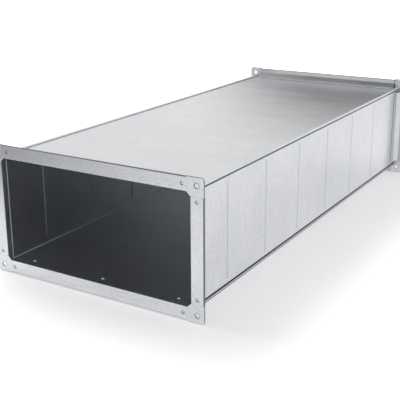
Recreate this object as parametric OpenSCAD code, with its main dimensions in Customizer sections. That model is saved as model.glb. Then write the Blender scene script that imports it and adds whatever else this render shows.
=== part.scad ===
// Rectangular ventilation duct, one straight length with a bolted flange at each end.
// Four sheets are locked together along the corners, seven beads stiffen each side
// sheet, and each flange is four folded rails joined by four stamped corner plates.
// All sizes are in millimetres. X runs across, Y along the duct, Z up from the floor.

/* [Duct] */
// Clear width between the two side sheets
inner_width = 500; // [200:5:1200]
// Clear height between the bottom and the top sheet
inner_height = 250; // [150:5:800]
// Length over both flange faces
duct_length = 1250; // [600:10:1500]
// Thickness of the galvanised sheet
sheet = 0.7; // [0.5:0.05:1.2]

/* [Corner lock seams] */
// How far the side sheet's turned flange reaches into the pocket
tongue = 6; // [4:0.5:8]
// Bend radius of the sheet on its centre line
sheet_bend = 0.6; // [0.6:0.1:1.5]
// Clearance on each face of the tongue
seam_gap = 0.12; // [0.05:0.01:0.3]
// Length of the lip hammered over the side sheet
lip = 7.2; // [4:0.2:9]
// Angle the lip stands off the side sheet
lip_flare = 6; // [2:1:12]

/* [Side beads] */
// Distance from the front flange face to the first bead
bead_first = 137; // [60:1:200]
// Distance between beads
bead_pitch = 176.5; // [60:0.5:200]
// Least distance from the last bead to the rear flange face
bead_last = 50; // [45:1:150]
// Radius of the rolled groove on its centre line
bead_bend = 1.5; // [0.8:0.1:2.5]
// Flat strip left between a bead's end and the corner
bead_margin = 14; // [10:1:40]

/* [Flange rails] */
// Height of the flange face
flange_size = 30; // [20:1:40]
// Thickness of the folded rail strip
rail_steel = 0.9; // [0.7:0.1:1.5]
// How far the rail's inner lip stands inside the duct's clear section
rail_lip = 5; // [2:0.5:6]
// Depth of the hollow rail behind its face
rail_depth = 7; // [6:0.5:12]
// Flat end of the inner leg that lies against the inside of the sheet
inner_land = 10; // [2:0.5:14]
// How far the outer leg reaches along the sheet
outer_leg = 42; // [32:1:50]
// Straight height of the rail's back, from its crown to its slope
back_height = 9; // [4:0.5:12]
// Gap between the rail's end and the corner lock seam
seam_clear = 4; // [1:0.5:8]

/* [Corner plates] */
// Thickness of the stamped plate
plate_steel = 2; // [1.5:0.1:3]
// Length of the plate over one leg
plate_leg = 92; // [75:1:120]
// Gap between a leg's edge and the edge of the opening
leg_margin = 4; // [3:0.5:8]
// How far the plate stands beyond the rails' outer edge
plate_proud = 1.6; // [0.5:0.1:2]
// Radius of the plate's outer corner
plate_round = 6; // [2:0.5:10]
// Bolt hole radius
bolt_hole_r = 5.25; // [4:0.25:6.5]
// Bolt hole centre from the plate's outer edges
bolt_inset = 17; // [14:0.5:20]
// Distance from the rail's end to the press mark that holds the plate
press_inset = 10.5; // [6:0.5:16]
// Depth of the press mark
press_depth = 1.6; // [0.8:0.1:1.8]

/* [Hidden] */
$fn = 48;
bend_step = 15;
slot_gap = 0.1;
end_gap = 0.2;
half_w = inner_width / 2;
half_h = inner_height / 2;
half_l = duct_length / 2;
outer_v = flange_size - rail_lip + plate_proud;
plate_x = half_w + outer_v;
plate_z = half_h + outer_v;
mid_z = plate_z;
leg_seat = rail_steel + slot_gap;
sheet_end = leg_seat + plate_steel + end_gap;
bead_count = 1 + floor((duct_length - bead_first - bead_last) / bead_pitch);

// A folded strip is a walk of straights and bends, thickened about its centre line.
// Each move is [straight length, turn in degrees (left is positive), bend radius].
function bend_points(cx, cy, r, s, a, t, n) =
    [for (k = [1 : n]) let (b = a + t * k / n) [cx + r * s * sin(b), cy - r * s * cos(b), b]];
function walk(m, x, y, a, i = 0) =
    i >= len(m) ? [] :
    let (len_i = m[i][0], t = m[i][1], r = m[i][2],
         x1 = x + len_i * cos(a), y1 = y + len_i * sin(a), s = t >= 0 ? 1 : -1,
         cx = x1 - r * s * sin(a), cy = y1 + r * s * cos(a),
         n = max(2, ceil(abs(t) / bend_step)))
    concat(len_i > 0 ? [[x1, y1, a]] : [],
           t == 0 ? [] : bend_points(cx, cy, r, s, a, t, n),
           walk(m, t == 0 ? x1 : cx + r * s * sin(a + t), t == 0 ? y1 : cy - r * s * cos(a + t),
                a + t, i + 1));
function path(m, x, y, a) = concat([[x, y, a]], walk(m, x, y, a));
function beside(p, d) = [for (q = p) [q[0] - d * sin(q[2]), q[1] + d * cos(q[2])]];
function back(p) = [for (i = [len(p) - 1 : -1 : 0]) p[i]];
function strip(p, t) = concat(beside(p, t / 2), back(beside(p, -t / 2)));
// Straight length of an S bend that steps sideways by d, and how far the bend runs on.
function s_len(d, t, r) = (d - 2 * r * (1 - cos(t))) / sin(t);
function s_run(d, t, r) = 2 * r * sin(t) + s_len(d, t, r) * cos(t);

// Corner lock, right half of the top sheet, measured from the clear section's top.
layer_two = sheet + 0.1;
layer_gap = sheet + 2 * seam_gap + sheet;
tongue_v = sheet / 2 + layer_two + layer_gap / 2;
pocket = tongue + 1;
fold_x = half_w - 0.1 - sheet / 2 - layer_two / 2;
lip_x = half_w + sheet + 0.15 + sheet / 2;
top_half = path([[fold_x, 180, layer_two / 2],
    [pocket, -180, layer_gap / 2],
    [lip_x - 1 - fold_x + pocket, -90 + lip_flare, 1],
    [lip, 0, 0]], 0, sheet / 2, 0);
top_path = concat(back([for (i = [1 : len(top_half) - 1])
        [-top_half[i][0], top_half[i][1], -top_half[i][2]]]), top_half);
top_shape = strip(top_path, sheet);

// The rails stop clear of the seam, and the corner plate's square fills what they leave open.
seam_reach = half_w - fold_x + pocket + layer_gap / 2 + sheet / 2;
rail_end = outer_v + seam_reach + seam_clear;
plate_square = rail_end - end_gap;
press_s = rail_end + press_inset;
press_t = plate_proud + flange_size / 2;

// Side sheet, measured from the clear section's side and the duct's middle height.
side_rise = half_h + tongue_v - sheet_bend;
side_shape = strip(path([[tongue, 90, sheet_bend], [2 * side_rise, 90, sheet_bend], [tongue, 0, 0]],
    sheet / 2 - sheet_bend - tongue, -half_h - tongue_v, 0), sheet);

// Bead, a rolled groove pressed into the duct, from the middle of the sheet's thickness.
bead_half = 2 * bead_bend * sin(60);
bead_path = path([[0, 60, bead_bend], [0, -120, bead_bend], [0, 60, bead_bend]], -bead_half, 0, 0);
bead_foot = bead_half + 0.3;
bead_top = half_h - bead_margin;
// The bead's section is closed below its foot, so that it crosses the sheet's face at an angle.
function bead_across(d, y) = concat([[-bead_foot, y]],
    [for (i = [1 : len(bead_path) - 2]) beside(bead_path, d)[i]], [[bead_foot, y]]);
// The bead runs out to the sheet at each end: [depth, height] of a trapezium with sloping
// ends, whose slope at the height bead_top stands at depth d.
bead_slope = 30;
function bead_along(d, y0, y1) = [for (q = [[y0, -1], [y1, -1], [y1, 1], [y0, 1]])
    [q[0], q[1] * (bead_top - (q[0] - d) / tan(bead_slope))]];

// Flange rail: first number is the depth from the face, second the height off the sheet.
rail_in = rail_steel / 2 + slot_gap;
lip_step = rail_lip - rail_steel / 2 - rail_in;
lip_straight = 1.75;
face_bend = 1;
crown_bend = 1.6;
slope_turn = 40;
out_v = sheet + slot_gap + rail_steel / 2;
crown_v = flange_size - rail_lip - rail_steel / 2 - crown_bend;
slope_start = crown_v - back_height;
slope_len = (slope_start - out_v - 1.5) / cos(slope_turn);
slope_u = rail_depth - rail_steel / 2 + 1.5 + slope_len * sin(slope_turn);
inner_leg = rail_steel / 2 + face_bend + lip_straight + s_run(lip_step, 40, 1.2) + inner_land;
rail_shape = strip(path([[inner_land, 40, 1.2],
    [s_len(lip_step, 40, 1.2), -40, 1.2],
    [lip_straight, -90, face_bend],
    [crown_v + rail_lip - rail_steel / 2 - face_bend, -90, crown_bend],
    [rail_depth - rail_steel - 2 * crown_bend, -90, crown_bend],
    [back_height, slope_turn, 1.5],
    [slope_len, 90 - slope_turn, 1.5],
    [outer_leg - 3 - slope_u, 12, 3],
    [2.4, 0, 0]], inner_leg, -rail_in, 180), rail_steel);

// Press mark: a round dimple in the rail's face, seated in a hole in the plate's leg.
press_flat = 2.4;
press_bowl = strip(path([[press_flat, -50, 0.8],
    [s_len(press_depth, 50, 0.8), 50, 0.8], [0.9, 0, 0]],
    0, rail_steel / 2 + press_depth, 0), rail_steel);
press_r = press_flat + s_run(press_depth, 50, 0.8);

// Draws a shape of [x, z] points along Y, from y0 to y1.
module along_y(pts, y0, y1) {
    translate([0, y1, 0]) rotate([90, 0, 0]) linear_extrude(y1 - y0) polygon(pts);
}

// Draws a shape of [y, z] points along X, from x0 to x1.
module along_x(pts, x0, x1) {
    translate([x0, 0, 0]) rotate([90, 0, 90]) linear_extrude(x1 - x0) polygon(pts);
}

// A round rod along Y, from y0 to y1, at [x, z].
module rod_y(x, z, r, y0, y1) {
    translate([x, y1, z]) rotate([90, 0, 0]) cylinder(h = y1 - y0, r = r);
}

module wide_sheet(up) {
    along_y([for (q = top_shape) [q[0], mid_z + up * (half_h + q[1])]],
        -half_l + sheet_end, half_l - sheet_end);
}

// A bead's form: across is its section, along is its outline from the side. Depths point
// into the duct.
module bead_form(side, y, across, along) {
    wall_x = side * (half_w + sheet / 2);
    intersection() {
        translate([0, 0, mid_z - half_h]) linear_extrude(2 * half_h)
            polygon([for (q = across) [wall_x - side * q[1], y + q[0]]]);
        along_y([for (q = along) [wall_x - side * q[0], mid_z + q[1]]], y - bead_foot - 1, y + bead_foot + 1);
    }
}

module side_sheet(side) {
    ys = [for (i = [0 : bead_count - 1]) -half_l + bead_first + i * bead_pitch];
    face = sheet / 2;
    deep = bead_bend + face;
    difference() {
        union() {
            along_y([for (q = side_shape) [side * (half_w + q[0]), mid_z + q[1]]],
                -half_l + sheet_end, half_l - sheet_end);
            for (y = ys) bead_form(side, y, bead_across(face, 0), bead_along(0, -0.1, deep));
        }
        for (y = ys) bead_form(side, y, bead_across(-face, -sheet),
            bead_along(-sheet / cos(bead_slope), -sheet - 0.1, deep));
    }
}

// The dimple's bowl, its open mouth towards the flange face at the end e.
module press_mark(e, x, z) {
    translate([x, e * half_l, z]) rotate([e * 90, 0, 0]) rotate_extrude() polygon(press_bowl);
}

module face_cut(e, x, z) {
    rod_y(x, z, press_r + 0.4, e < 0 ? -half_l - 1 : half_l - rail_steel - 0.5,
        e < 0 ? -half_l + rail_steel + 0.5 : half_l + 1);
}

module wide_rail(e, up) {
    x1 = plate_x - rail_end;
    press_x = plate_x - press_s;
    press_z = mid_z + up * (plate_z - press_t);
    difference() {
        along_x([for (q = rail_shape) [e * (half_l - q[0]), mid_z + up * (half_h + q[1])]], -x1, x1);
        for (s = [-1, 1]) face_cut(e, s * press_x, press_z);
    }
    for (s = [-1, 1]) press_mark(e, s * press_x, press_z);
}

module side_rail(e, side) {
    z1 = plate_z - rail_end;
    press_x = side * (plate_x - press_t);
    difference() {
        translate([0, 0, mid_z - z1]) linear_extrude(2 * z1)
            polygon([for (q = rail_shape) [side * (half_w + q[1]), e * (half_l - q[0])]]);
        for (s = [-1, 1]) face_cut(e, press_x, mid_z + s * (plate_z - press_s));
    }
    for (s = [-1, 1]) press_mark(e, press_x, mid_z + s * (plate_z - press_s));
}

// Corner plate. Shapes are measured inwards from the plate's two outer edges.
module corner_plate(e, side, up) {
    open_s = flange_size + plate_proud;
    leg_in = plate_proud + rail_steel + crown_bend * 0.6;
    square = concat([for (k = [0 : 6]) let (a = 180 + 15 * k)
            [plate_round * (1 + cos(a)), plate_round * (1 + sin(a))]],
        [[plate_square, 0], [plate_square, open_s], [open_s, plate_square], [0, plate_square]]);
    leg_out = open_s - leg_margin;
    arm = [[open_s, leg_in], [plate_leg - 3, leg_in], [plate_leg, leg_in + 3],
        [plate_leg, leg_out - 3], [plate_leg - 3, leg_out], [open_s, leg_out]];
    difference() {
        union() {
            plate_slab(e, side, up, square, 0, plate_steel);
            plate_slab(e, side, up, arm, leg_seat, leg_seat + plate_steel);
            plate_slab(e, side, up, [for (q = arm) [q[1], q[0]]], leg_seat, leg_seat + plate_steel);
        }
        plate_hole(e, side, up, bolt_inset, bolt_inset, bolt_hole_r);
        plate_hole(e, side, up, press_s, press_t, press_r + 0.8);
        plate_hole(e, side, up, press_t, press_s, press_r + 0.8);
    }
}

module plate_slab(e, side, up, pts, u0, u1) {
    along_y([for (q = pts) [side * (plate_x - q[0]), mid_z + up * (plate_z - q[1])]],
        e < 0 ? -half_l + u0 : half_l - u1, e < 0 ? -half_l + u1 : half_l - u0);
}

module plate_hole(e, side, up, sx, sz, r) {
    rod_y(side * (plate_x - sx), mid_z + up * (plate_z - sz), r,
        e < 0 ? -half_l - 1 : half_l - 6, e < 0 ? -half_l + 6 : half_l + 1);
}

module top_sheet() { color([0.78, 0.79, 0.8]) wide_sheet(1); }
module bottom_sheet() { color([0.72, 0.73, 0.74]) wide_sheet(-1); }
module left_side_sheet() { color([0.8, 0.81, 0.82]) side_sheet(-1); }
module right_side_sheet() { color([0.8, 0.81, 0.82]) side_sheet(1); }
module front_top_rail() { color([0.68, 0.69, 0.71]) wide_rail(-1, 1); }
module front_bottom_rail() { color([0.68, 0.69, 0.71]) wide_rail(-1, -1); }
module front_left_rail() { color([0.68, 0.69, 0.71]) side_rail(-1, -1); }
module front_right_rail() { color([0.68, 0.69, 0.71]) side_rail(-1, 1); }
module rear_top_rail() { color([0.68, 0.69, 0.71]) wide_rail(1, 1); }
module rear_bottom_rail() { color([0.68, 0.69, 0.71]) wide_rail(1, -1); }
module rear_left_rail() { color([0.68, 0.69, 0.71]) side_rail(1, -1); }
module rear_right_rail() { color([0.68, 0.69, 0.71]) side_rail(1, 1); }
module front_top_left_plate() { color([0.62, 0.63, 0.65]) corner_plate(-1, -1, 1); }
module front_top_right_plate() { color([0.62, 0.63, 0.65]) corner_plate(-1, 1, 1); }
module front_bottom_left_plate() { color([0.62, 0.63, 0.65]) corner_plate(-1, -1, -1); }
module front_bottom_right_plate() { color([0.62, 0.63, 0.65]) corner_plate(-1, 1, -1); }
module rear_top_left_plate() { color([0.62, 0.63, 0.65]) corner_plate(1, -1, 1); }
module rear_top_right_plate() { color([0.62, 0.63, 0.65]) corner_plate(1, 1, 1); }
module rear_bottom_left_plate() { color([0.62, 0.63, 0.65]) corner_plate(1, -1, -1); }
module rear_bottom_right_plate() { color([0.62, 0.63, 0.65]) corner_plate(1, 1, -1); }

top_sheet();
bottom_sheet();
left_side_sheet();
right_side_sheet();
front_top_rail();
front_bottom_rail();
front_left_rail();
front_right_rail();
rear_top_rail();
rear_bottom_rail();
rear_left_rail();
rear_right_rail();
front_top_left_plate();
front_top_right_plate();
front_bottom_left_plate();
front_bottom_right_plate();
rear_top_left_plate();
rear_top_right_plate();
rear_bottom_left_plate();
rear_bottom_right_plate();
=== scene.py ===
# %% [markdown]
# A straight length of rectangular ventilation duct, open at both ends.
# It is folded from galvanised sheet, with locked seams along its corners, and each end
# carries a flange of four folded rails that hold four stamped corner plates.
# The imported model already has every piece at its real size. This script adds the looks:
# the camera, the studio, the finish of each metal, and the small press joints.

# %% The fixed frame
import math

import bmesh
import bpy
from mathutils import Matrix, Vector


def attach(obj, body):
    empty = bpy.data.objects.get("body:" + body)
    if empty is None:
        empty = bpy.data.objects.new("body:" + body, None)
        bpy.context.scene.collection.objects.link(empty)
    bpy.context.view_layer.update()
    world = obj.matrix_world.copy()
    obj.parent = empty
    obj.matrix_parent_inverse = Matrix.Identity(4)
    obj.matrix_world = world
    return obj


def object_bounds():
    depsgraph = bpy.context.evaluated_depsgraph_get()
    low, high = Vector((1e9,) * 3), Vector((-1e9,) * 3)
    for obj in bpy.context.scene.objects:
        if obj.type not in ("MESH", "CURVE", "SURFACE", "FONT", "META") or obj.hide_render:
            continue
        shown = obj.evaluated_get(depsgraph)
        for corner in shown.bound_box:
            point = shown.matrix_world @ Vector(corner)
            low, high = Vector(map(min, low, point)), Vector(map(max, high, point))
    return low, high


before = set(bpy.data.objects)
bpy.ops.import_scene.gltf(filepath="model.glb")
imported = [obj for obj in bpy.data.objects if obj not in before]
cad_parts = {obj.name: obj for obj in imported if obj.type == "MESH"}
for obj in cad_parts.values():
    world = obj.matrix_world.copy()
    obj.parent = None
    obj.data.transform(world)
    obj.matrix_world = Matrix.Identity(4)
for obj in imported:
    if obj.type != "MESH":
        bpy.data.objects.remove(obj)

scene = bpy.context.scene
scene.view_settings.view_transform = "Standard"
cad_low, cad_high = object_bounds()
print("pieces in the frame:", len(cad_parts), "size in metres:", cad_high - cad_low)

# %% [markdown]
# The camera stands in front and to the right, a little above the duct, where the
# photographer stood. Its place and its turns were fitted to the edges of the flanges,
# so they are plain numbers here. A lens about twice as long as its sensor is wide keeps
# the near flange from looking stretched.

# %% Camera
camera_place = Vector((1.005, -1.842, 0.729))
camera_turn = math.radians(31.22)
camera_dip = math.radians(-16.81)
camera_roll = math.radians(-0.27)
lens_per_sensor = 1.986

camera_data = bpy.data.cameras.new("camera")
camera = bpy.data.objects.new("camera", camera_data)
scene.collection.objects.link(camera)
camera_data.lens = lens_per_sensor * camera_data.sensor_width
camera_data.shift_y = -0.05
turn = Matrix.Rotation(camera_turn, 4, "Z")
tilt = Matrix.Rotation(math.radians(90) + camera_dip, 4, "X")
roll = Matrix.Rotation(camera_roll, 4, "Z")
camera.matrix_world = Matrix.Translation(camera_place) @ turn @ tilt @ roll
scene.camera = camera
print("lens in millimetres:", round(camera_data.lens, 1))

# %% [markdown]
# Materials are trees of nodes. Writing a tree by hand is slow to read, so one small class
# wraps an output socket. Adding, subtracting or multiplying two of them adds the Math
# node that does it, and the method called node adds a node of any other kind.

# %% A socket that can be used in sums


class Wire:
    """One output of a node, which Python's own operators can work on."""

    def __init__(self, tree, socket=None):
        self.tree = tree
        self.socket = socket

    def node(self, kind, settings=None, inputs=None, output=0):
        """Adds a node, sets its settings, fills its inputs, and returns one output."""
        made = self.tree.nodes.new(kind)
        for name, value in (settings or {}).items():
            setattr(made, name, value)
        for name, value in (inputs or {}).items():
            if isinstance(value, Wire):
                self.tree.links.new(value.socket, made.inputs[name])
            else:
                made.inputs[name].default_value = value
        return Wire(self.tree, made.outputs[output] if made.outputs else None)

    def math(self, operation, *values):
        return self.node("ShaderNodeMath", {"operation": operation}, dict(enumerate(values)))

    def __add__(self, other):
        return self.math("ADD", self, other)

    def __sub__(self, other):
        return self.math("SUBTRACT", self, other)

    def __rsub__(self, other):
        return self.math("SUBTRACT", other, self)

    def __mul__(self, other):
        return self.math("MULTIPLY", self, other)

    __radd__ = __add__
    __rmul__ = __mul__

    def __abs__(self):
        return self.math("ABSOLUTE", self)

    def max(self, other):
        return self.math("MAXIMUM", self, other)

    def root(self):
        return self.math("SQRT", self)

    def rise(self, low, high):
        """0 up to low, 1 from high on, and smooth between them."""
        inputs = {"Value": self, "From Min": low, "From Max": high}
        return self.node("ShaderNodeMapRange", {"interpolation_type": "SMOOTHSTEP"}, inputs)

    def blend(self, first, second):
        """The first colour where this wire is 0, the second where it is 1."""
        inputs = {0: self, 6: first, 7: second}
        return self.node("ShaderNodeMix", {"data_type": "RGBA"}, inputs, output=2)

    def parts(self):
        """The X, Y and Z of a vector, as three wires."""
        split = self.node("ShaderNodeSeparateXYZ", {}, {"Vector": self}).socket.node
        return [Wire(self.tree, output) for output in split.outputs]

    def noise(self, scale, detail=2, roughness=0.5):
        """Noise about zero, at most half a unit either way, on coordinates stretched by scale."""
        spread = self.node("ShaderNodeMapping", {}, {"Vector": self, "Scale": scale})
        inputs = {"Vector": spread, "Scale": 1, "Detail": detail, "Roughness": roughness}
        return self.node("ShaderNodeTexNoise", {}, inputs) - 0.5


def empty_tree(block):
    """Clears the nodes of a material or a world and returns a Wire to build with."""
    block.use_nodes = True
    block.node_tree.nodes.clear()
    return Wire(block.node_tree)


print("the shader helper is ready")

# %% [markdown]
# The background of such a picture is plain white, yet the duct keeps a soft shadow at its
# foot. So the world and the floor shine at full white only for rays that look at them,
# from the camera or from a reflection in the metal. What they throw on the floor as light
# is weaker, and a wide soft lamp at the upper left makes up the rest.

# %% Studio light
white = (1, 1, 1, 1)
sky_fill = 0.48
lamp_level = 3.2


def rays_that_look(wire):
    """1 for rays from the camera, a reflection or clear glass, and 0 for soft light."""
    looks = ["Is Camera Ray", "Is Glossy Ray", "Is Transmission Ray"]
    seen = [wire.node("ShaderNodeLightPath", output=name) for name in looks]
    return seen[0].max(seen[1]).max(seen[2])


world = bpy.data.worlds.new("studio")
scene.world = world
sky = empty_tree(world)
strength = rays_that_look(sky) * (1 - sky_fill) + sky_fill
glow = sky.node("ShaderNodeBackground", {}, {"Color": white, "Strength": strength})
sky.node("ShaderNodeOutputWorld", {}, {"Surface": glow})


def softbox(name, place, aim, width, height, brightness):
    """A rectangular lamp of an even brightness that shines at the aim and isn't reflected."""
    lamp = bpy.data.lights.new(name, "AREA")
    lamp.shape = "RECTANGLE"
    lamp.size = width
    lamp.size_y = height
    lamp.energy = brightness * math.pi * width * height
    holder = bpy.data.objects.new(name, lamp)
    scene.collection.objects.link(holder)
    holder.location = place
    holder.rotation_euler = (aim - place).to_track_quat("-Z", "Y").to_euler()
    holder.visible_glossy = False


duct_middle = (cad_low + cad_high) / 2
softbox("left", Vector((-2.0, 0.1, 2.1)), duct_middle, 2.2, 2.2, lamp_level)

# %% [markdown]
# The floor is one large square. It is a pale matt surface that also glows a little for
# the rays that look at it, which lifts the open floor to white and leaves the shadow. The
# glow grows with the distance from the duct, so that the floor is white past the shadow.
# The metal sees an even glow instead, or its far end would look brighter than white.

# %% Floor
floor_pale = (0.82, 0.82, 0.83, 1)
floor_glow = 0.4
far_glow = 0.6
mirror_glow = 0.15
glow_start, glow_end = 0.03, 0.5
floor_size = 60


def sheet_mesh(name, width, height, place):
    """A flat rectangle of four corners, turned and moved by one matrix."""
    shape = bmesh.new()
    bmesh.ops.create_grid(shape, x_segments=1, y_segments=1, size=0.5)
    bmesh.ops.scale(shape, vec=(width, height, 1), verts=shape.verts)
    bmesh.ops.transform(shape, matrix=place, verts=shape.verts)
    mesh = bpy.data.meshes.new(name)
    shape.to_mesh(mesh)
    shape.free()
    made = bpy.data.objects.new(name, mesh)
    scene.collection.objects.link(made)
    return made


floor = sheet_mesh("floor", floor_size, floor_size, Matrix.Identity(4))
floor_paint = bpy.data.materials.new("floor_paint")
tree = empty_tree(floor_paint)
matt = tree.node("ShaderNodeBsdfDiffuse", {}, {"Color": floor_pale})
spot = tree.node("ShaderNodeTexCoord", output="Object").parts()
beside = (abs(spot[0]) - cad_high.x).max(0)
beyond = (abs(spot[1]) - cad_high.y).max(0)
distance = (beside * beside + beyond * beyond).root()
by_camera = tree.node("ShaderNodeLightPath", output="Is Camera Ray")
past_shadow = distance.rise(glow_start, glow_end) * far_glow
glow_level = floor_glow + by_camera * past_shadow + (1 - by_camera) * mirror_glow
shine = tree.node("ShaderNodeEmission", {}, {"Color": glow_level, "Strength": 1})
both = tree.node("ShaderNodeAddShader", {}, {0: matt, 1: shine})
mixed = tree.node("ShaderNodeMixShader", {}, {0: rays_that_look(tree), 1: matt, 2: both})
tree.node("ShaderNodeOutputMaterial", {}, {"Surface": mixed})
floor.data.materials.append(floor_paint)
print("floor", floor_size, "metres square")

# %% [markdown]
# Metal shows what stands around it, so a studio hangs cloths where the metal should turn
# dark. One stands just behind the far flange, so that the far end of the top and the
# inside of the duct look into it. A low one at the front left darkens the upper left of
# the near flange. One at the left of the duct does the same for the far corner plate, and
# one overhead for the slope of the far rail. Each fades out into white, because a sharp
# edge would show in the metal as a line.
# They show in reflections only, and throw no shadow. Places and sizes are in metres.

# %% Fading cloths


def fading_cloth(name, centre, width, height, brightness, tilt=90):
    """A rectangle that only reflections show. It stands along X, or lies at tilt 0.
    Brightness takes the place as a list of X, Y and Z, and gives 0 for black to 1."""
    paint = bpy.data.materials.new(name)
    tree = empty_tree(paint)
    place = tree.node("ShaderNodeTexCoord", output="Object").parts()
    lit = tree.node("ShaderNodeEmission", {}, {"Color": brightness(place), "Strength": 1})
    tree.node("ShaderNodeOutputMaterial", {}, {"Surface": lit})
    turned = Matrix.Rotation(math.radians(tilt), 4, "X")
    cloth = sheet_mesh(name, width, height, Matrix.Translation(centre) @ turned)
    cloth.data.materials.append(paint)
    cloth.visible_camera = False
    cloth.visible_diffuse = False
    cloth.visible_shadow = False


def above(darkest, fade):
    """Lifts a fade of 0 to 1, so that it starts at the darkest grey of a cloth."""
    return darkest + fade * (1 - darkest)


def behind(place):
    low_part = 1 - place[2].rise(0.3, 0.7)
    right_part = place[0].rise(-0.8, -0.1)
    return 1 - low_part * right_part


def front_left(place):
    return above(0.05, place[0].rise(-1.1, 0.2))


def overhead(place):
    middle_x = -0.7
    return above(0.1, abs(place[0] - middle_x).rise(0.5, 1.2))


def beside_left(place):
    middle_x = -0.85
    return above(0.1, abs(place[0] - middle_x).rise(0.25, 0.5))


fading_cloth("cloth_behind", (-0.35, 0.98, 0.37), 1.3, 0.74, behind)
fading_cloth("cloth_front_left", (-0.75, -1.1, 0.12), 2.0, 0.24, front_left)
fading_cloth("cloth_beside_left", (-0.9, -0.3, 0.14), 1.1, 0.28, beside_left)
fading_cloth("cloth_overhead", (-0.7, -0.2, 2.4), 2.4, 1.8, overhead, tilt=0)

# %% [markdown]
# The steel is coated with zinc and then rolled, so it carries fine scratches. On the
# sheets they run around the duct, along X on the top and the bottom and along Z on the
# sides, and on a rail they run along it. Noise that is stretched far along those axes
# gives them, and needs no UV map. Hairs, streaks and wide clouds of it vary the colour and
# the roughness, a round grain varies the colour too, and the hairs and streaks lift the
# surface. On top of that, painted shade darkens the seam steps, the bead flanks, the rail
# folds and the inner faces of the sheets, where shade falls. On the corner plates the same
# dark also stands for the bare steel of cut edges. Each kind of piece has its own rule for
# that dark, which comes in as a mask.

# %% Galvanised steel
zinc_dark = (0.53, 0.545, 0.565, 1)
zinc_pale = (0.75, 0.76, 0.78, 1)
# painted shade: the darker, bluer zinc that stands for the shade inside the duct
painted_shade_zinc = (0.3, 0.33, 0.36, 1)
# the darkest colour paints shade on seams, beads and rails, and bare steel with shade on the corner
# plates
painted_shade_and_bare_steel = (0.07, 0.073, 0.078, 1)


def galvanised(name, along, roughness, darkened=None, buckle=0.0002, shaded=None):
    """Zinc-coated steel with scratches along the given axes. Along holds 1 or 0 per axis.
    Darkened takes the place and the normal as lists of X, Y and Z, and gives a mask of 0
    to 1 for painted shade, and on the corner plates for bare steel too, or it is left out
    where nothing is dark.
    Buckle is how far in metres the surface swells and sinks over a hand's width.
    Shaded takes the place too, and gives how much painted shade makes the zinc darker
    and bluer there, and rougher with it."""
    material = bpy.data.materials.new(name)
    tree = empty_tree(material)
    place = tree.node("ShaderNodeTexCoord", output="Object")

    def stretched(across, length):
        return [length if axis else across for axis in along]

    hair = place.noise(stretched(900, 24), 2)
    streak = place.noise(stretched(230, 22), 3)
    cloud = place.noise((5, 9, 7), 3)
    grain = place.noise((420, 420, 420), 2)
    shade = 0.5 + hair * 0.8 + streak * 0.5 + cloud * 0.6 + grain * 1.6
    zinc = shade.blend(zinc_dark, zinc_pale)
    rough = roughness + hair * 0.05 + streak * 0.06 + cloud * 0.08
    # painted shade: darker, bluer and rougher where the shaded rule says
    if shaded:
        painted_shade_amount = shaded(place.parts())
        zinc = painted_shade_amount.blend(zinc, painted_shade_zinc)
        rough = rough + painted_shade_amount * 0.55
    # painted shade, and bare steel on the corner plates, mixed in by the darkened mask
    if darkened:
        normal = tree.node("ShaderNodeTexCoord", output="Normal")
        mask = darkened(place.parts(), normal.parts())
        zinc = mask.blend(zinc, painted_shade_and_bare_steel)
        rough = rough + mask * 0.1
    scratched = tree.node("ShaderNodeBump", {},
                          {"Strength": 0.03, "Distance": 0.0002, "Height": hair + streak})
    swell = place.noise((9, 9, 9), 1)
    bumped = tree.node("ShaderNodeBump", {}, {"Strength": 1, "Distance": buckle,
                                              "Height": swell, "Normal": scratched})
    inputs = {"Base Color": zinc, "Metallic": 1.0, "Roughness": rough, "Normal": bumped}
    metal = tree.node("ShaderNodeBsdfPrincipled", {}, inputs)
    tree.node("ShaderNodeOutputMaterial", {}, {"Surface": metal})
    return material


print("zinc runs from", zinc_dark[:3], "to", zinc_pale[:3])

# %% [markdown]
# On the sheets the dark is painted shade. The free edge of each corner seam's lip was
# hammered down over the side; a dark line painted along the side of the duct under it, and
# another at the foot of the bottom seam, stand for the shadow of the step there. The beads
# were pressed by a roll, and their flanks are painted darker as shade, most on the inside.
# The inner faces are painted a little darker and bluer as the shade inside the duct, and
# made rougher. The masks measure from the middle of the duct: a seam's line lies between
# two heights, the foot's line is the lower edge of the bottom seam, and outside starts one
# skin past the inner face.

# %% Sheets
clear_half_width = 0.25
clear_half_height = 0.125
middle_z = duct_middle.z
skin = 0.0001
seam_line_low = 0.1182
seam_line_high = 0.1222
foot_line = 0.1243
seam_soft = 0.0008


def seam_and_bead_shade(place, normal):
    height = abs(place[2] - middle_z)
    outside = abs(place[0]).rise(clear_half_width + 2 * skin, clear_half_width + 5 * skin)
    past_low = height.rise(seam_line_low - seam_soft, seam_line_low)
    past_high = height.rise(seam_line_high, seam_line_high + seam_soft)
    foot = (middle_z - place[2]).rise(foot_line, foot_line + seam_soft)
    # painted shadow lines: under the edge of each seam's lip and at the foot of the bottom seam
    seam = (past_low * (1 - past_high)).max(foot) * outside * 0.95
    # painted shade on the bead flanks, stronger on the inside
    shoulder = abs(normal[1]).rise(0.2, 0.6)
    faces_out = (place[0] * normal[0]).rise(-0.01, 0.01)
    return seam.max(shoulder * (0.85 - faces_out * 0.6))


# painted shade on the inner faces of the duct
def inside(place):
    past_x = abs(place[0]).rise(clear_half_width + skin, clear_half_width + 3 * skin)
    height = abs(place[2] - middle_z)
    past_z = height.rise(clear_half_height + skin, clear_half_height + 3 * skin)
    return (1 - past_x) * (1 - past_z) * 0.2


sheet_zinc = galvanised("sheet_zinc", (1, 0, 1), 0.25, seam_and_bead_shade, 0.0005, inside)

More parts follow.
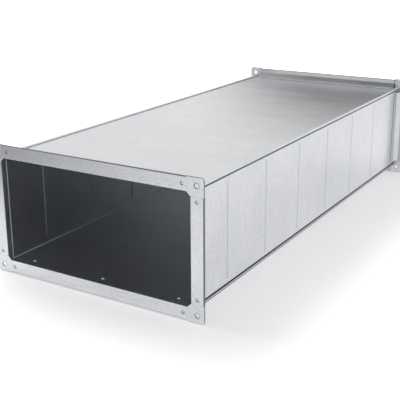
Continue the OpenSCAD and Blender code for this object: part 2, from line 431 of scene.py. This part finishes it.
# %% [markdown]
# A rail is folded from a narrow strip. The outer faces of its fold and the bend round its front
# face are painted dark, as shade.
# A corner plate is punched out with a press, so its cut edges and holes show bare steel,
# and so does the shoulder of each press mark that holds it. The same dark also paints the
# shade in the gap behind the plate, in a ring round each hole and in the press marks.

# %% Rails and corner plates
crown_start = 0.0228
crown_soft = 0.001
face_depth = 0.0015
face_soft = 0.0007
plate_edge = 0.0006
edge_soft = 0.0005
rim_soft = 0.0003
bolt_inset = 0.017
bolt_x = cad_high.x - bolt_inset
bolt_z = cad_high.z - middle_z - bolt_inset
rim_radius = 0.0062


# painted shade on the outer faces of the fold and on the bend round the front face
def rail_fold_shade(place, normal):
    width = abs(place[0]) - clear_half_width
    height = abs(place[2] - middle_z) - clear_half_height
    over_x = width.rise(crown_start, crown_start + crown_soft)
    over_z = height.rise(crown_start, crown_start + crown_soft)
    tilted = 1 - abs(normal[1]).rise(0.8, 0.99)
    face = 1 - abs(normal[1]).rise(0.85, 0.99)
    deepest = duct_half_length - face_depth
    at_face = abs(place[1]).rise(deepest - face_soft, deepest)
    return (over_x.max(over_z) * tilted * 0.85).max(face * at_face * 0.85)


# bare steel at cut edges and holes, and painted shade in the gap behind the plate, round each hole
# and in the press marks
def cut_edge_steel_and_shade(place, normal):
    across = abs(place[0]) - bolt_x
    upwards = abs(place[2] - middle_z) - bolt_z
    from_bolt = (across * across + upwards * upwards).root()
    rim = 1 - from_bolt.rise(rim_radius - rim_soft, rim_radius + rim_soft)
    edge_x = abs(place[0]).rise(cad_high.x - plate_edge - edge_soft, cad_high.x - plate_edge)
    edge_z = abs(place[2] - middle_z).rise(middle_z - plate_edge - edge_soft, middle_z - plate_edge)
    wall = 1 - abs(normal[1]).rise(0.4, 0.9)
    return 0.85 * wall.max(rim).max(edge_x).max(edge_z)


duct_half_length = cad_high.y
wide_rail_zinc = galvanised("wide_rail_zinc", (1, 0, 0), 0.34, rail_fold_shade)
side_rail_zinc = galvanised("side_rail_zinc", (0, 0, 1), 0.34, rail_fold_shade)
plate_zinc = galvanised("plate_zinc", (0, 0, 0), 0.38, cut_edge_steel_and_shade)


def finish_for(node):
    """The finish of a CAD piece, by its name."""
    if node.endswith("sheet"):
        return sheet_zinc
    if node.endswith("plate"):
        return plate_zinc
    return side_rail_zinc if "left" in node or "right" in node else wide_rail_zinc


for node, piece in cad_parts.items():
    piece.data.materials.clear()
    piece.data.materials.append(finish_for(node))
print("finished:", len(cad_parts), "pieces")

# %% [markdown]
# Press joints hold each rail to its sheet: a punch pushes both metals through a round
# die, which leaves a button inside the duct and a ringed hollow on the rail outside.
# Both are turned about one axis, so the spin operator makes them from two outlines. An
# outline is a list of radius and height in millimetres, and starts and ends on the axis.

# %% Press joints
millimetre = 0.001
joint_depth = 34 * millimetre
joint_places = (-0.196, 0, 0.196)
spin_steps = 32
leg_back = -1.7
button = [(0, -0.2), (4.7, -0.2), (4.7, 0.1), (4.5, 0.6),
          (4.0, 1.2), (3.2, 1.7), (2, 1.95), (0, 2)]
ring = [(0, 0.2), (5.4, 0.2), (5.4, -0.1), (5.1, -0.35),
        (4.6, -0.45), (4.2, -0.3), (4, -0.05), (0, -0.05)]


def into_object(name, shape, material):
    """Turns a bmesh into a piece that rides on the duct, its faces as smooth or flat as the bmesh
    set them.
    """
    bmesh.ops.remove_doubles(shape, verts=shape.verts, dist=millimetre / 1000)
    bmesh.ops.recalc_face_normals(shape, faces=shape.faces)
    mesh = bpy.data.meshes.new(name)
    shape.to_mesh(mesh)
    shape.free()
    made = bpy.data.objects.new(name, mesh)
    scene.collection.objects.link(made)
    made.data.materials.append(material)
    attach(made, "root")
    return made


def press_joint(name, place):
    """One joint at the place, a matrix whose Z points into the duct."""
    shape = bmesh.new()
    for outline, lift in ((button, 0), (ring, leg_back)):
        points = [(r * millimetre, 0, (h + lift) * millimetre) for r, h in outline]
        line = [shape.verts.new(point) for point in points]
        edges = [shape.edges.new(pair) for pair in zip(line, line[1:])]
        bmesh.ops.spin(shape, geom=line + edges, cent=(0, 0, 0), axis=(0, 0, 1),
                       angle=2 * math.pi, steps=spin_steps, use_merge=True)
    for face in shape.faces:
        face.smooth = True
    bmesh.ops.transform(shape, matrix=place, verts=shape.verts)
    return into_object(name, shape, joint_zinc)


joint_zinc = galvanised("joint_zinc", (0, 0, 0), 0.3)
for end, away in (("front", -1), ("rear", 1)):
    for level, up in (("top", 1), ("bottom", -1)):
        for number, x in enumerate(joint_places):
            y = away * (duct_half_length - joint_depth)
            wall = Matrix.Translation((x, y, middle_z + up * clear_half_height))
            flip = Matrix.Rotation(math.radians(90 + 90 * up), 4, "X")
            press_joint(f"{end}_{level}_press_joint_{number + 1}", wall @ flip)

# %% [markdown]
# A line of pale sealant closes each inner corner of the duct, and another follows the end
# of each rail's inner leg on the side walls. A sealant line is a hollow fillet: its
# section is a corner closed by an arc that curves in, and extruding it gives the run.

# %% Sealant
corner_fillet = 1.6 * millimetre
leg_fillet = 2.4 * millimetre
leg_reach = 19.04 * millimetre
fillet_steps = 5
sunk = 0.05 * millimetre
paste_dark = (0.62, 0.64, 0.66, 1)
paste_pale = (0.8, 0.82, 0.84, 1)


def fillet_run(shape, corner, first, second, radius, run):
    """Adds one fillet at the corner, between two directions, that follows the run."""
    quarter = math.pi / 2
    angles = [quarter * step / fillet_steps for step in range(fillet_steps + 1)]
    arc = [corner + radius * ((1 - math.sin(a)) * first + (1 - math.cos(a)) * second)
           for a in angles]
    line = [corner - sunk * (first + second)] + arc
    face = shape.faces.new([shape.verts.new(point) for point in line])
    grown = bmesh.ops.extrude_face_region(shape, geom=[face])
    moved = [item for item in grown["geom"] if isinstance(item, bmesh.types.BMVert)]
    bmesh.ops.translate(shape, verts=moved, vec=run)


sealant = bpy.data.materials.new("sealant_grey")
tree = empty_tree(sealant)
place = tree.node("ShaderNodeTexCoord", output="Object")
shade = 0.5 + place.noise((60, 60, 60), 3) + place.noise((700, 700, 700), 2) * 0.6
paste = shade.blend(paste_dark, paste_pale)
bumped = tree.node("ShaderNodeBump", {}, {"Strength": 0.2, "Distance": 0.0003, "Height": shade})
rough = 0.45 + place.noise((90, 90, 90), 2) * 0.3
soft = tree.node("ShaderNodeBsdfPrincipled", {},
                 {"Base Color": paste, "Roughness": rough, "Normal": bumped})
tree.node("ShaderNodeOutputMaterial", {}, {"Surface": soft})

inner_half_length = duct_half_length - leg_reach
floor_z = middle_z - clear_half_height
whole_length = Vector((0, 2 * inner_half_length, 0))
whole_height = Vector((0, 0, 2 * clear_half_height))
corners = bmesh.new()
for side in (-1, 1):
    inwards = Vector((-side, 0, 0))
    for up in (-1, 1):
        z = middle_z + up * clear_half_height
        corner = Vector((side * clear_half_width, -inner_half_length, z))
        fillet_run(corners, corner, inwards, Vector((0, 0, -up)), corner_fillet, whole_length)
into_object("corner_sealant", corners, sealant)

for end, away in (("front", -1), ("rear", 1)):
    legs = bmesh.new()
    for side in (-1, 1):
        inwards = Vector((-side, 0, 0))
        corner = Vector((side * clear_half_width, away * inner_half_length, floor_z))
        fillet_run(legs, corner, inwards, Vector((0, -away, 0)), leg_fillet, whole_height)
    into_object(f"{end}_leg_sealant", legs, sealant)
